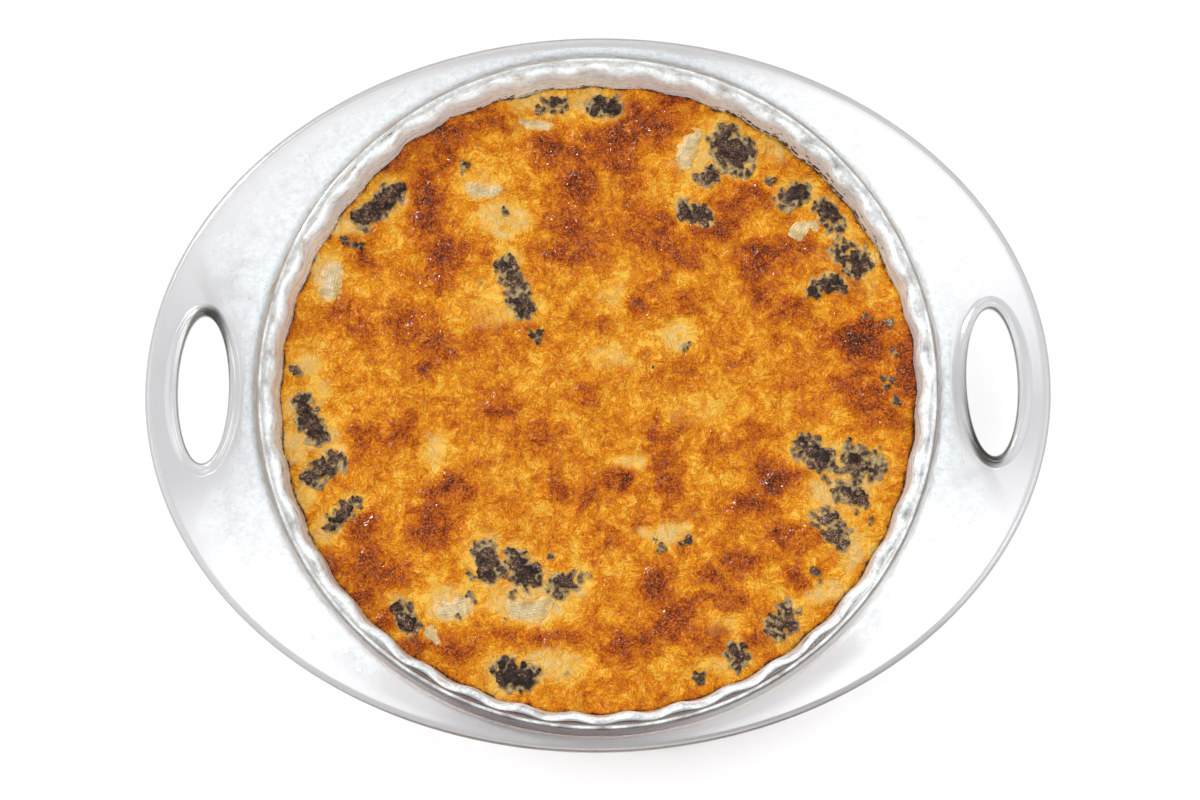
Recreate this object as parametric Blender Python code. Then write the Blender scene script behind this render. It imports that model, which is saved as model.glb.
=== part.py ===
# Cheeseburger pie baked in its clear glass pie dish. The dish is one piece of pressed glass: a round
# bowl with a fluted inner wall, under a wide oval flange with a hand slot at each end. The baked
# custard and cheese fill the bowl, and browned beef and onion show through at the top.
# Metres, +Z up. X runs from slot to slot, and the origin is under the middle of the base.

import math
import random

import bmesh
import bpy
from mathutils import Vector, noise
from mathutils.geometry import delaunay_2d_cdt

MM = 0.001

# Flange of the dish
FLANGE_LENGTH = 345.0 * MM
FLANGE_WIDTH = 275.6 * MM
FLANGE_TOP = 46.2 * MM
FLANGE_THICKNESS = 4.5 * MM
FLANGE_BEAD = 0.4 * MM
FLANGE_STEPS = 90

# Hand slots, one at each end of the flange
SLOT_CENTRE = 150.2 * MM
SLOT_WIDTH = 19.6 * MM
SLOT_LENGTH = 56.6 * MM
SLOT_BEAD_WIDTH = 4.6 * MM
SLOT_BEAD_HEIGHT = 0.8 * MM
SLOT_STEPS = 30

# Bowl, with its inner wall pressed into outward arcs that meet in inward cusps
RING_RADIUS = 128.0 * MM
LEDGE_DEPTH = 1.2 * MM
FLUTE_COUNT = 40
FLUTE_DEPTH = 2.0 * MM
FLUTE_STEPS = 4
FLOOR_THICKNESS = 4.5 * MM
FLOOR_RADIUS = 113.0 * MM
HEEL_TOP = 10.5 * MM
WALL_FOOT_RADIUS = 122.5 * MM
WALL_TOP_RADIUS = 126.4 * MM
WALL_TOP = 43.2 * MM
BOWL_STEPS = 80

# Baked filling, which fits the bowl with a hair's gap
GAP = 0.45 * MM
FILLING_EDGE = 26.8 * MM
FILLING_RISE = 1.6 * MM
FILLING_FLUTE_STEPS = 3
TOP_SPACING = 8.4 * MM
TOP_MARGIN = 4.5 * MM
BROAD_WAVE = 34.0 * MM
BROAD_RELIEF = 1.5 * MM
BLISTER_WAVE = 14.0 * MM
BLISTER_RELIEF = 0.9 * MM

# Where the browned cheese has climbed the wall: angle and spread in degrees, then height
CLIMB_WIDTH = 9.0 * MM
EDGE_CLIMBS = [
    (9.0, 8.0, 4.2 * MM), (126.0, 7.0, 4.6 * MM), (114.0, 5.0, 1.8 * MM),
    (214.0, 4.0, 2.2 * MM), (231.5, 5.0, 2.4 * MM), (48.0, 14.0, 1.2 * MM),
]

# Pieces in the top sit in pockets this much larger all round
POCKET_GAP = 0.35 * MM

# Where each clump of browned beef lies: points along it in millimetres, then its width
BEEF_CLUMPS = [
    ([(-80, 81), (-86, 75), (-92, 70)], 7.8),
    ([(-36, 50), (-32, 42), (-29, 34)], 7.4),
    ([(35, 73), (42, 70)], 6.2),
    ([(51.5, 100.5), (57, 94)], 13.4),
    ([(42.5, 85.5), (46, 87.5)], 5.0),
    ([(74, 76.5), (81, 80)], 7.0),
    ([(90, 73), (94, 67)], 7.0),
    ([(96.5, 55.5), (102.5, 50)], 10.4),
    ([(86, 41), (91, 44), (95.5, 41.5)], 4.7),
    ([(80, -23), (86, -27)], 9.0),
    ([(98, -27), (106, -31)], 9.0),
    ([(94, -39), (101, -42)], 6.0),
    ([(87, -51), (93, -57)], 9.6),
    ([(72, -86.5), (68, -92)], 8.4),
    ([(52, -102)], 8.9),
    ([(-115, -3), (-113, -9), (-109, -15)], 8.2),
    ([(-103, -26), (-110, -31)], 9.4),
    ([(-95, -43), (-103, -50)], 5.4),
    ([(-75, -83), (-73, -90)], 6.0),
    ([(-44, -62), (-42, -69)], 8.0),
    ([(-32, -66), (-26, -72)], 8.6),
    ([(-16, -75), (-10, -73)], 7.6),
    ([(-37, -106), (-34, -111), (-28, -109)], 8.0),
    ([(-21, 115.5), (-13, 116.4)], 5.4),
    ([(1, 116), (7, 115)], 7.4),
]

# Where each slice of softened onion lies: its two ends in millimetres, then its width
ONION_SLICES = [
    ((-103, 51), (-105, 39), 10.0),
    ((39.5, 104), (34.5, 91.5), 7.6),
    ((84, 66.5), (77.5, 60), 8.6),
    ((-61, -84), (-51, -82), 9.0),
    ((-33, -84), (-21, -83), 9.5),
    ((-65, -90), (-62.5, -97), 6.2),
    ((-50, 82), (-39, 81), 6.8),
    ((-29, 109.2), (-18, 107.6), 5.2),
]

# Loose beef crumbs fused to the filling: place in millimetres, then size
BEEF_CRUMBS = [
    (-99, 61, 4.2), (-94, 59, 4.4), (-36, 73, 4.2), (-24, 23, 6.0),
    (106, 29, 4.0), (114, 26, 4.4), (116, 15, 4.6), (113, 3, 5.0), (116, -4, 4.6),
    (83, -70, 4.6), (37.5, -110.5, 5.0), (25, -61, 4.4), (33, -58, 4.2),
    (-117, 9, 5.2), (35, 18, 3.4), (69, 84, 4.4), (-52, 91, 4.4), (104, -51, 3.8),
]


def flute_inset(turn):
    """How far inward the fluted wall runs at a share of the way round: 0 mid-arc, 1 at a cusp."""
    place = (turn * FLUTE_COUNT + 0.5) % 1.0
    return (2.0 * place - 1.0) ** 2


def wall_radius(z):
    """The inner wall's radius at its arcs."""
    share = (z - HEEL_TOP) / (WALL_TOP - HEEL_TOP)
    return WALL_FOOT_RADIUS + (WALL_TOP_RADIUS - WALL_FOOT_RADIUS) * share


def edge_climb(x, y):
    """How far the edge of the top stands up the wall."""
    angle = math.degrees(math.atan2(y, x))
    inward = (WALL_FOOT_RADIUS - math.hypot(x, y)) / CLIMB_WIDTH
    near = 1.0 - min(1.0, max(0.0, inward))
    rise = 0.0
    for centre, spread, height in EDGE_CLIMBS:
        away = (angle - centre + 180.0) % 360.0 - 180.0
        rise += height * math.exp(-((away / spread) ** 2))
    return rise * near * near


def filling_height(x, y):
    """Height of the baked top: a low dome, broad waves, blisters and a raised edge in places."""
    out = math.hypot(x, y) / WALL_FOOT_RADIUS
    broad = noise.noise(Vector((x, y, 0.031)) / BROAD_WAVE)
    blister = noise.noise(Vector((x, y, 0.052)) / BLISTER_WAVE)
    relief = BROAD_RELIEF * broad + BLISTER_RELIEF * blister + edge_climb(x, y)
    return FILLING_EDGE + FILLING_RISE * (1.0 - out * out) + relief


def clear_scene():
    for thing in list(bpy.data.objects):
        bpy.data.objects.remove(thing)


def make_material(name, colour, roughness, transmission=0.0):
    material = bpy.data.materials.new(name)
    material.use_nodes = True
    shader = material.node_tree.nodes["Principled BSDF"]
    shader.inputs["Base Color"].default_value = (*colour, 1.0)
    shader.inputs["Roughness"].default_value = roughness
    shader.inputs["Metallic"].default_value = 0.0
    shader.inputs["Transmission Weight"].default_value = transmission
    return material


def link_mesh(name, bm, material=None):
    mesh = bpy.data.meshes.new(name)
    bmesh.ops.recalc_face_normals(bm, faces=bm.faces)
    bm.to_mesh(mesh)
    bm.free()
    thing = bpy.data.objects.new(name, mesh)
    bpy.context.scene.collection.objects.link(thing)
    if material:
        mesh.materials.append(material)
    return thing


def loft(rings, close_top=True):
    """A solid skin through closed rings of points, with a cap at each end."""
    bm = bmesh.new()
    loops = [[bm.verts.new(point) for point in ring] for ring in rings]
    for low, high in zip(loops, loops[1:]):
        count = len(low)
        for i in range(count):
            j = (i + 1) % count
            bm.faces.new((low[i], low[j], high[j]))
            bm.faces.new((low[i], high[j], high[i]))
    caps = [list(reversed(loops[0]))]
    if close_top:
        caps.append(loops[-1])
    for cap in caps:
        heights = [vert.co.z for vert in cap]
        if max(heights) - min(heights) < 1e-7:
            bm.faces.new(cap)
        else:
            for i in range(1, len(cap) - 1):
                bm.faces.new((cap[0], cap[i], cap[i + 1]))
    return bm, loops


def ellipse(half_x, half_y, z, steps, centre_x=0.0):
    ring = []
    for i in range(steps):
        angle = math.tau * i / steps
        ring.append(Vector((centre_x + half_x * math.cos(angle), half_y * math.sin(angle), z)))
    return ring


def fluted_ring(radius, depth, z, steps_per_flute):
    ring = []
    steps = FLUTE_COUNT * steps_per_flute
    for i in range(steps):
        # Steps start at a cusp, half a flute before the X axis
        turn = (i / steps_per_flute - 0.5) / FLUTE_COUNT
        at = radius - depth * flute_inset(turn)
        angle = math.tau * turn
        ring.append(Vector((at * math.cos(angle), at * math.sin(angle), z)))
    return ring


def apply_boolean(target, tools, operation):
    """One Boolean with a collection of tools, applied to the target's mesh. The tools are removed."""
    group = bpy.data.collections.new("tools")
    for tool in tools:
        group.objects.link(tool)
    modifier = target.modifiers.new("join", "BOOLEAN")
    modifier.operation = operation
    modifier.operand_type = "COLLECTION"
    modifier.collection = group
    modifier.solver = "EXACT"
    bpy.context.view_layer.update()
    depsgraph = bpy.context.evaluated_depsgraph_get()
    mesh = bpy.data.meshes.new_from_object(target.evaluated_get(depsgraph))
    target.modifiers.clear()
    target.data = mesh
    for tool in tools:
        bpy.data.objects.remove(tool)
    bpy.data.collections.remove(group)


def flange_plate():
    """The oval plate, with a rounded edge and a low bead just inside it."""
    profile = [
        (3.0 * MM, -FLANGE_THICKNESS),
        (0.7 * MM, 0.65 * MM - FLANGE_THICKNESS),
        (0.0, -0.5 * FLANGE_THICKNESS),
        (0.8 * MM, -0.2 * MM),
        (2.4 * MM, FLANGE_BEAD),
        (5.0 * MM, 0.0),
    ]
    rings = []
    for inset, rise in profile:
        half_x = FLANGE_LENGTH / 2 - inset
        half_y = FLANGE_WIDTH / 2 - inset
        rings.append(ellipse(half_x, half_y, FLANGE_TOP + rise, FLANGE_STEPS))
    return link_mesh("flange", loft(rings)[0])


def slot_solid(name, side, profile):
    """An elliptical solid round a slot. The profile gives how far outside the slot, and the height."""
    rings = []
    for out, z in profile:
        half_x = SLOT_WIDTH / 2 + out
        half_y = SLOT_LENGTH / 2 + out
        rings.append(ellipse(half_x, half_y, z, SLOT_STEPS, side * SLOT_CENTRE))
    return link_mesh(name, loft(rings)[0])


def slot_bead(side):
    low = FLANGE_TOP - FLANGE_THICKNESS
    return slot_solid("slot_bead", side, [
        (1.6 * MM, low - 0.6 * SLOT_BEAD_HEIGHT),
        (SLOT_BEAD_WIDTH, low + 0.3 * MM),
        (SLOT_BEAD_WIDTH, FLANGE_TOP - 0.3 * MM),
        (3.3 * MM, FLANGE_TOP + 0.7 * SLOT_BEAD_HEIGHT),
        (1.6 * MM, FLANGE_TOP + SLOT_BEAD_HEIGHT),
    ])


def slot_cutter(side):
    low = FLANGE_TOP - FLANGE_THICKNESS
    middle = FLANGE_TOP - 0.5 * FLANGE_THICKNESS
    return slot_solid("slot_cutter", side, [
        (4.0 * MM, low - 5.0 * MM),
        (1.0 * MM, low - 0.6 * SLOT_BEAD_HEIGHT),
        (0.0, middle),
        (1.0 * MM, FLANGE_TOP + SLOT_BEAD_HEIGHT),
        (4.0 * MM, FLANGE_TOP + 5.0 * MM),
    ])


def bowl_body():
    """The smooth outside of the bowl, up into the flange, with a fillet under it."""
    under = FLANGE_TOP - FLANGE_THICKNESS
    profile = [
        (119.5 * MM, 0.0),
        (124.6 * MM, 1.4 * MM),
        (127.0 * MM, 6.0 * MM),
        (131.2 * MM, 38.5 * MM),
        (133.0 * MM, under + 0.4 * MM),
        (132.4 * MM, under + 2.4 * MM),
    ]
    rings = [ellipse(radius, radius, z, BOWL_STEPS) for radius, z in profile]
    return link_mesh("bowl", loft(rings)[0])


def bowl_cutter():
    """The hollow of the bowl: rounded heel, fluted wall, rounded fluted lip, ledge and ring."""
    ledge = FLANGE_TOP - LEDGE_DEPTH
    profile = [
        (FLOOR_RADIUS, 0.0, FLOOR_THICKNESS),
        (119.2 * MM, 0.3 * FLUTE_DEPTH, 6.0 * MM),
        (WALL_FOOT_RADIUS, 0.7 * FLUTE_DEPTH, HEEL_TOP),
        (WALL_TOP_RADIUS, FLUTE_DEPTH, WALL_TOP),
        (127.4 * MM, FLUTE_DEPTH, ledge - 0.1 * MM),
        (RING_RADIUS, 0.0, ledge + 0.05 * MM),
        (RING_RADIUS + 0.3 * MM, 0.0, FLANGE_TOP - 0.2 * MM),
        (RING_RADIUS + 1.2 * MM, 0.0, FLANGE_TOP + 0.3 * MM),
        (RING_RADIUS + 1.2 * MM, 0.0, FLANGE_TOP + 5.0 * MM),
    ]
    rings = [fluted_ring(radius, depth, z, FLUTE_STEPS) for radius, depth, z in profile]
    return link_mesh("bowl_cutter", loft(rings)[0])


def make_dish(material):
    dish = flange_plate()
    apply_boolean(dish, [bowl_body(), slot_bead(-1), slot_bead(1)], "UNION")
    apply_boolean(dish, [bowl_cutter(), slot_cutter(-1), slot_cutter(1)], "DIFFERENCE")
    dish.name = "glass_dish"
    dish.data.materials.clear()
    dish.data.materials.append(material)
    dish.data.shade_smooth()
    dish.data.set_sharp_from_angle(angle=math.radians(35))


def top_points(edge):
    """Points of the baked top, on rings inside its edge."""
    points = [Vector((p.x, p.y)) for p in edge]
    radius = WALL_FOOT_RADIUS - TOP_MARGIN
    ring_number = 0
    while radius > TOP_SPACING / 2:
        count = max(6, round(math.tau * radius / TOP_SPACING))
        for i in range(count):
            # Each ring is turned against the last, so that the triangles stay even
            angle = math.tau * (i + 0.5 * (ring_number % 2)) / count
            points.append(Vector((radius * math.cos(angle), radius * math.sin(angle))))
        radius -= TOP_SPACING
        ring_number += 1
    points.append(Vector((0.0, 0.0)))
    return points


def filling_body():
    """The filling before its pockets: it follows the fluted wall and heel of the bowl."""
    profile = [
        (FLOOR_RADIUS - GAP, 0.0, FLOOR_THICKNESS + 0.3 * MM),
        (118.6 * MM, 0.3 * FLUTE_DEPTH, 6.5 * MM),
        (WALL_FOOT_RADIUS - GAP, 0.7 * FLUTE_DEPTH, HEEL_TOP + 0.2 * MM),
        (wall_radius(FILLING_EDGE) - GAP, 0.9 * FLUTE_DEPTH, FILLING_EDGE),
    ]
    rings = [fluted_ring(radius, depth, z, FILLING_FLUTE_STEPS) for radius, depth, z in profile]
    for point in rings[-1]:
        point.z = filling_height(point.x, point.y) - 0.3 * MM
        reach = (wall_radius(point.z) - wall_radius(FILLING_EDGE)) / wall_radius(FILLING_EDGE)
        point.x += point.x * reach
        point.y += point.y * reach
    bm, loops = loft(rings, close_top=False)
    edge = loops[-1]
    points = top_points([vert.co for vert in edge])
    border = [(i, (i + 1) % len(edge)) for i in range(len(edge))]
    flat, _, faces, sources, _, _ = delaunay_2d_cdt(points, border, [], 1, 1e-7)
    verts = []
    for point, source in zip(flat, sources):
        if source and source[0] < len(edge):
            verts.append(edge[source[0]])
        else:
            verts.append(bm.verts.new((point.x, point.y, filling_height(point.x, point.y))))
    for face in faces:
        bm.faces.new([verts[i] for i in face])
    return link_mesh("baked_filling", bm)


def crumb(x, y, size, sink):
    """One loose crumb: a lumpy ball of few sides, sunk into the top."""
    bm = bmesh.new()
    bmesh.ops.create_icosphere(bm, subdivisions=1, radius=1.0)
    centre = Vector((x, y, filling_height(x, y) - sink * size))
    for vert in bm.verts:
        lump = 1.0 + 0.25 * noise.noise(vert.co * 1.3 + Vector((x, y, 0.0)) / (4 * MM))
        p = vert.co * (lump * size / 2)
        p.z *= 0.8
        vert.co = centre + p
    return link_mesh("crumb", bm)


def path_point(points, distance):
    """The point at a distance along a path, which runs straight on past its ends."""
    for i, (a, b) in enumerate(zip(points, points[1:])):
        length = (b - a).length
        if distance <= length or i == len(points) - 2:
            return a + (b - a) * (distance / length)
        distance -= length


def clump_solid(number, path, width, swell=0.0):
    """A lumpy clump of crumbs along a path, blunt at both ends."""
    rng = random.Random(number)
    points = [Vector(p) * MM for p in path]
    size = width * MM
    if len(points) == 1:
        points.append(points[0] + Vector((0.3 * size, 0.1 * size)))
    length = sum((b - a).length for a, b in zip(points, points[1:]))
    over = 0.40 * size
    stations = max(4, 1 + math.ceil((length + 2 * over) / (0.58 * size)))
    rings = []
    for k in range(stations):
        distance = -over + (length + 2 * over) * k / (stations - 1)
        past = max(0.0, -distance, distance - length)
        radius = 0.5 * size * math.sqrt(1.0 - (past / (0.5 * size)) ** 2)
        radius *= rng.uniform(0.88, 1.06)
        at = path_point(points, distance)
        ahead = path_point(points, distance + 0.3 * size)
        behind = path_point(points, distance - 0.3 * size)
        along = (ahead - behind).normalized()
        if k in (0, stations - 1):
            at = at + along * (swell if k else -swell)
        ring = []
        for i in range(7):
            angle = math.tau * i / 7
            far = radius * rng.uniform(0.84, 1.08) + swell
            side = far * math.cos(angle)
            place = Vector((at.x - along.y * side, at.y + along.x * side))
            z = filling_height(at.x, at.y) - 0.05 * size + 0.7 * far * math.sin(angle)
            ring.append(Vector((place.x, place.y, z)))
        rings.append(ring)
    return rings


def make_clump(name, number, path, width, material):
    """A clump of browned beef, and the larger copy that cuts its pocket."""
    link_mesh(name, loft(clump_solid(number, path, width))[0], material)
    return link_mesh("pocket", loft(clump_solid(number, path, width, POCKET_GAP))[0])


def onion_solid(start, end, width, swell=0.0):
    """A soft curved slice of onion, lying almost flush in the top."""
    a = Vector(start) * MM
    b = Vector(end) * MM
    along = (b - a).normalized()
    across = Vector((-along.y, along.x))
    centre = (a + b) / 2
    half_length = (b - a).length / 2 + width * MM / 4 + swell
    half_width = width * MM / 2 + swell
    rings = []
    for drop, share in ((2.4, 0.74), (0.6, 1.0), (-0.6, 0.78)):
        ring = []
        for i in range(10):
            angle = math.tau * i / 10
            wave = 1.0 + 0.08 * math.sin(3 * angle + start[0])
            p = centre + along * (half_length * share * wave * math.cos(angle))
            p += across * (half_width * share * wave * math.sin(angle))
            lift = swell if drop < 1.0 else -swell
            z = filling_height(p.x, p.y) - drop * MM + lift
            ring.append(Vector((p.x, p.y, z)))
        rings.append(ring)
    return rings


def make_onion(name, start, end, width, material):
    """An onion slice, and the larger copy that cuts its pocket."""
    link_mesh(name, loft(onion_solid(start, end, width))[0], material)
    return link_mesh("pocket", loft(onion_solid(start, end, width, POCKET_GAP))[0])


def make_pie():
    clear_scene()
    glass = make_material("clear_glass", (0.96, 0.97, 0.97), 0.03, transmission=1.0)
    baked = make_material("baked_cheese", (0.80, 0.34, 0.05), 0.42)
    beef = make_material("browned_beef", (0.075, 0.045, 0.032), 0.6)
    onion = make_material("soft_onion", (0.52, 0.47, 0.27), 0.35)

    make_dish(glass)

    pockets = []
    for number, (path, width) in enumerate(BEEF_CLUMPS, start=1):
        pockets.append(make_clump(f"beef_{number:02d}", number, path, width, beef))
    for number, (start, end, width) in enumerate(ONION_SLICES, start=1):
        pockets.append(make_onion(f"onion_{number:02d}", start, end, width, onion))

    filling = filling_body()
    crumbs = [crumb(x * MM, y * MM, size * MM, 0.02) for x, y, size in BEEF_CRUMBS]
    apply_boolean(filling, crumbs, "UNION")
    apply_boolean(filling, pockets, "DIFFERENCE")
    filling.data.materials.clear()
    filling.data.materials.append(baked)
    filling.data.shade_smooth()
    filling.data.set_sharp_from_angle(angle=math.radians(50))


make_pie()
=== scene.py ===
# Cheeseburger pie baked in a clear glass pie dish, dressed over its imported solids
import math
import random

import bmesh
import bpy
import numpy as np
from mathutils import Matrix, Vector, kdtree, noise


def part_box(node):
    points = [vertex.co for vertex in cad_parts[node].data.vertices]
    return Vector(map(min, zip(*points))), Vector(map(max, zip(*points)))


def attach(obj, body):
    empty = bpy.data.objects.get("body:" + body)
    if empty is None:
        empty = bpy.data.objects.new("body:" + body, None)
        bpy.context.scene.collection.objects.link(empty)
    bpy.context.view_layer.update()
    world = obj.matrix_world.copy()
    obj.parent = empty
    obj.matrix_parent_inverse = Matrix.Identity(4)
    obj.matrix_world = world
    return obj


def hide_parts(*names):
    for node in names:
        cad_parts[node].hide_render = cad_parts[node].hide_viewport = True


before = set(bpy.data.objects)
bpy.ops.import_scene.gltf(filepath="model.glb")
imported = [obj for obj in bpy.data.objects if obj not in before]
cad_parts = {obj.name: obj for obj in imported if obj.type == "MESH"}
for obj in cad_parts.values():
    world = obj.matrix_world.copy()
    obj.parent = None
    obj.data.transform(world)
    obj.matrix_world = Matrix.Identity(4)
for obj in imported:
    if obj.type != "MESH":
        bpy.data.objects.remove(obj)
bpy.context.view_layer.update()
print("frame loaded:", len(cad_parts), "nodes")

# Lengths in the settings are in millimetres
mm = 0.001
dishLow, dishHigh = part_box("glass_dish")


# Shader helpers

class Wire:
    # One socket of a material, so that maths on it reads as plain arithmetic
    def __init__(self, board, socket):
        self.board = board
        self.socket = socket

    def maths(self, operation, *values):
        return self.board.node("ShaderNodeMath", {"operation": operation}, dict(enumerate(values)))

    def __add__(self, other):
        return self.maths("ADD", self, other)

    def __radd__(self, other):
        return self.maths("ADD", other, self)

    def __sub__(self, other):
        return self.maths("SUBTRACT", self, other)

    def __rsub__(self, other):
        return self.maths("SUBTRACT", other, self)

    def __mul__(self, other):
        return self.maths("MULTIPLY", self, other)

    def __rmul__(self, other):
        return self.maths("MULTIPLY", other, self)

    def size(self):
        return self.maths("ABSOLUTE", self)

    def clamped(self):
        return self.board.node("ShaderNodeClamp", {}, {0: self})

    def step(self, low, high):
        # 0 below low and 1 above high, smooth between
        return self.board.node("ShaderNodeMapRange", {"interpolation_type": "SMOOTHSTEP"},
                               {0: self, 1: low, 2: high})


class Board:
    # The node tree of a material or of the world
    def __init__(self, owner):
        owner.use_nodes = True
        self.tree = owner.node_tree

    def node(self, kind, settings=None, sockets=None, output=0):
        made = self.tree.nodes.new(kind)
        for key, value in (settings or {}).items():
            if key == "stops":
                self.setStops(made.color_ramp.elements, value)
            else:
                setattr(made, key, value)
        for key, value in (sockets or {}).items():
            self.feed(made.inputs[key], value)
        return Wire(self, made.outputs[output])

    def feed(self, socket, value):
        if isinstance(value, Wire):
            self.tree.links.new(value.socket, socket)
        else:
            socket.default_value = value

    def setStops(self, elements, stops):
        while len(elements) < len(stops):
            elements.new(1.0)
        for element, (position, colour) in zip(elements, stops):
            element.position = position
            element.color = (*colour, 1.0)

    def ramp(self, amount, stops):
        return self.node("ShaderNodeValToRGB", {"stops": stops}, {"Fac": amount}, "Color")

    def mix(self, share, first, second):
        return self.node("ShaderNodeMix", {"data_type": "RGBA"}, {0: share, 6: first, 7: second}, 2)


class Finish(Board):
    # A piece's material, its fixed values set on the shader's own sockets
    def __init__(self, name, **fixed):
        self.material = bpy.data.materials.new(name)
        super().__init__(self.material)
        self.shader = self.tree.nodes["Principled BSDF"]
        for socket, value in fixed.items():
            self.shader.inputs[socket.replace("_", " ")].default_value = value
        self.body = Wire(self, self.shader.outputs[0])
        self.place = self.node("ShaderNodeTexCoord", output="Object")

    def attribute(self, name):
        return self.node("ShaderNodeAttribute", {"attribute_name": name}, output="Fac")

    def speckle(self, size, detail=3.0, roughness=0.55, place=None):
        # Noise whose spots are about this size in metres
        return self.node("ShaderNodeTexNoise", {}, {
            "Vector": place or self.place, "Scale": 1.0 / size, "Detail": detail, "Roughness": roughness,
        })

    def drifted(self, size, amount):
        # Places pushed about by noise, for patterns that flow
        spread = {"Vector": self.place, "Scale": 1.0 / size, "Detail": 2.0}
        push = self.node("ShaderNodeTexNoise", {}, spread, "Color")
        return self.node("ShaderNodeVectorMath", {"operation": "MULTIPLY_ADD"},
                         {0: push, 1: (amount, amount, amount), 2: self.place})

    def cells(self, size, place=None):
        return self.node("ShaderNodeTexVoronoi", {}, {"Vector": place or self.place, "Scale": 1.0 / size})

    def bumpy(self, height, distance, strength=1.0):
        return self.node("ShaderNodeBump", {}, {
            "Height": height, "Distance": distance, "Strength": strength,
        }, "Normal")

    def principled(self, **fixed):
        # A second finish, to be mixed with the first
        values = {socket.replace("_", " "): value for socket, value in fixed.items()}
        return self.node("ShaderNodeBsdfPrincipled", {}, values, "BSDF")

    def surface(self, shader):
        self.feed(self.tree.nodes["Material Output"].inputs["Surface"], shader)

    def finish(self, **links):
        for socket, wire in links.items():
            self.feed(self.shader.inputs[socket.replace("_", " ")], wire)
        return self.material


def colour(red, green, blue):
    # An sRGB colour of 0 to 255 as linear values
    linear = []
    for value in (red, green, blue):
        value = value / 255.0
        linear.append(value / 12.92 if value <= 0.04045 else ((value + 0.055) / 1.055) ** 2.4)
    return tuple(linear)


# Modelling helpers

def deselectAll():
    if bpy.context.mode != "OBJECT":
        bpy.ops.object.mode_set(mode="OBJECT")
    bpy.ops.object.select_all(action="DESELECT")


def edit():
    bpy.ops.object.mode_set(mode="EDIT")


def leaveEdit():
    bpy.ops.object.mode_set(mode="OBJECT")


def pickVerts(wanted):
    # In edit mode, selects the vertices whose place passes a test
    mesh = bmesh.from_edit_mesh(bpy.context.active_object.data)
    bpy.ops.mesh.select_all(action="DESELECT")
    for vert in mesh.verts:
        vert.select = wanted(vert)
    mesh.select_flush_mode()
    bmesh.update_edit_mesh(bpy.context.active_object.data)


def pickOpenEdges(wanted):
    # In edit mode, selects the edges of open borders whose two ends pass a test
    mesh = bmesh.from_edit_mesh(bpy.context.active_object.data)
    bpy.ops.mesh.select_all(action="DESELECT")
    bpy.ops.mesh.select_mode(type="EDGE")
    for edge in mesh.edges:
        if edge.is_boundary or edge.is_wire:
            edge.select_set(all(wanted(vert.co) for vert in edge.verts))
    bmesh.update_edit_mesh(bpy.context.active_object.data)


def addRing(name, halfX, halfY, z, steps, centreX=0.0):
    # A ring of vertices, left in edit mode and selected
    deselectAll()
    bpy.ops.mesh.primitive_circle_add(vertices=steps, radius=halfX, location=(centreX, 0.0, z))
    made = bpy.context.active_object
    made.name = name
    made.data.name = name
    bpy.ops.object.transform_apply(location=True, rotation=True, scale=True)
    edit()
    bpy.ops.mesh.select_mode(type="VERT")
    bpy.ops.mesh.select_all(action="SELECT")
    bpy.ops.transform.resize(value=(1.0, halfY / halfX, 1.0), center_override=(centreX, 0.0, 0.0))
    return made


def growRing(scaleX, scaleY, rise, centreX=0.0):
    # The selected ring is extruded, moved up and resized about its own axis
    bpy.ops.mesh.extrude_region_move(TRANSFORM_OT_translate={"value": (0.0, 0.0, rise)})
    bpy.ops.transform.resize(value=(scaleX, scaleY, 1.0), center_override=(centreX, 0.0, 0.0))


def growAlong(rings, centreX=0.0):
    # Extrudes the selected ring through a list of (half size in X, half size in Y, z)
    for (oldX, oldY, oldZ), (newX, newY, newZ) in zip(rings, rings[1:]):
        growRing(newX / oldX, newY / oldY, newZ - oldZ, centreX)


def mark(piece, name, valueAt):
    # In edit mode, gives the selected vertices a value that the material reads
    mesh = bmesh.from_edit_mesh(piece.data)
    layer = mesh.verts.layers.float.get(name) or mesh.verts.layers.float.new(name)
    for vert in mesh.verts:
        if vert.select:
            vert[layer] = valueAt(vert.co)


def markAll(piece, name, valueAt):
    bpy.ops.mesh.select_all(action="SELECT")
    mark(piece, name, valueAt)


def applyAll(piece):
    bpy.context.view_layer.objects.active = piece
    for modifier in list(piece.modifiers):
        bpy.ops.object.modifier_apply(modifier=modifier.name)


def joinPieces(pieces, name):
    deselectAll()
    for piece in pieces:
        piece.select_set(True)
    bpy.context.view_layer.objects.active = pieces[0]
    if len(pieces) > 1:
        bpy.ops.object.join()
    pieces[0].name = name
    pieces[0].data.name = name
    return pieces[0]


def numbered(kind, things):
    # The names of the solids that stand for a list of things
    return [f"{kind}_{i + 1:02d}" for i in range(len(things))]


def settle(piece, material, slot, *nodes):
    # Material, body and the solids that a finished piece stands for
    piece.data.materials.clear()
    piece.data.materials.append(material)
    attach(piece, "root")
    if nodes:
        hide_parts(*nodes)
    print("made", piece.name, len(piece.data.polygons), "faces")


# Glass dish

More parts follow.
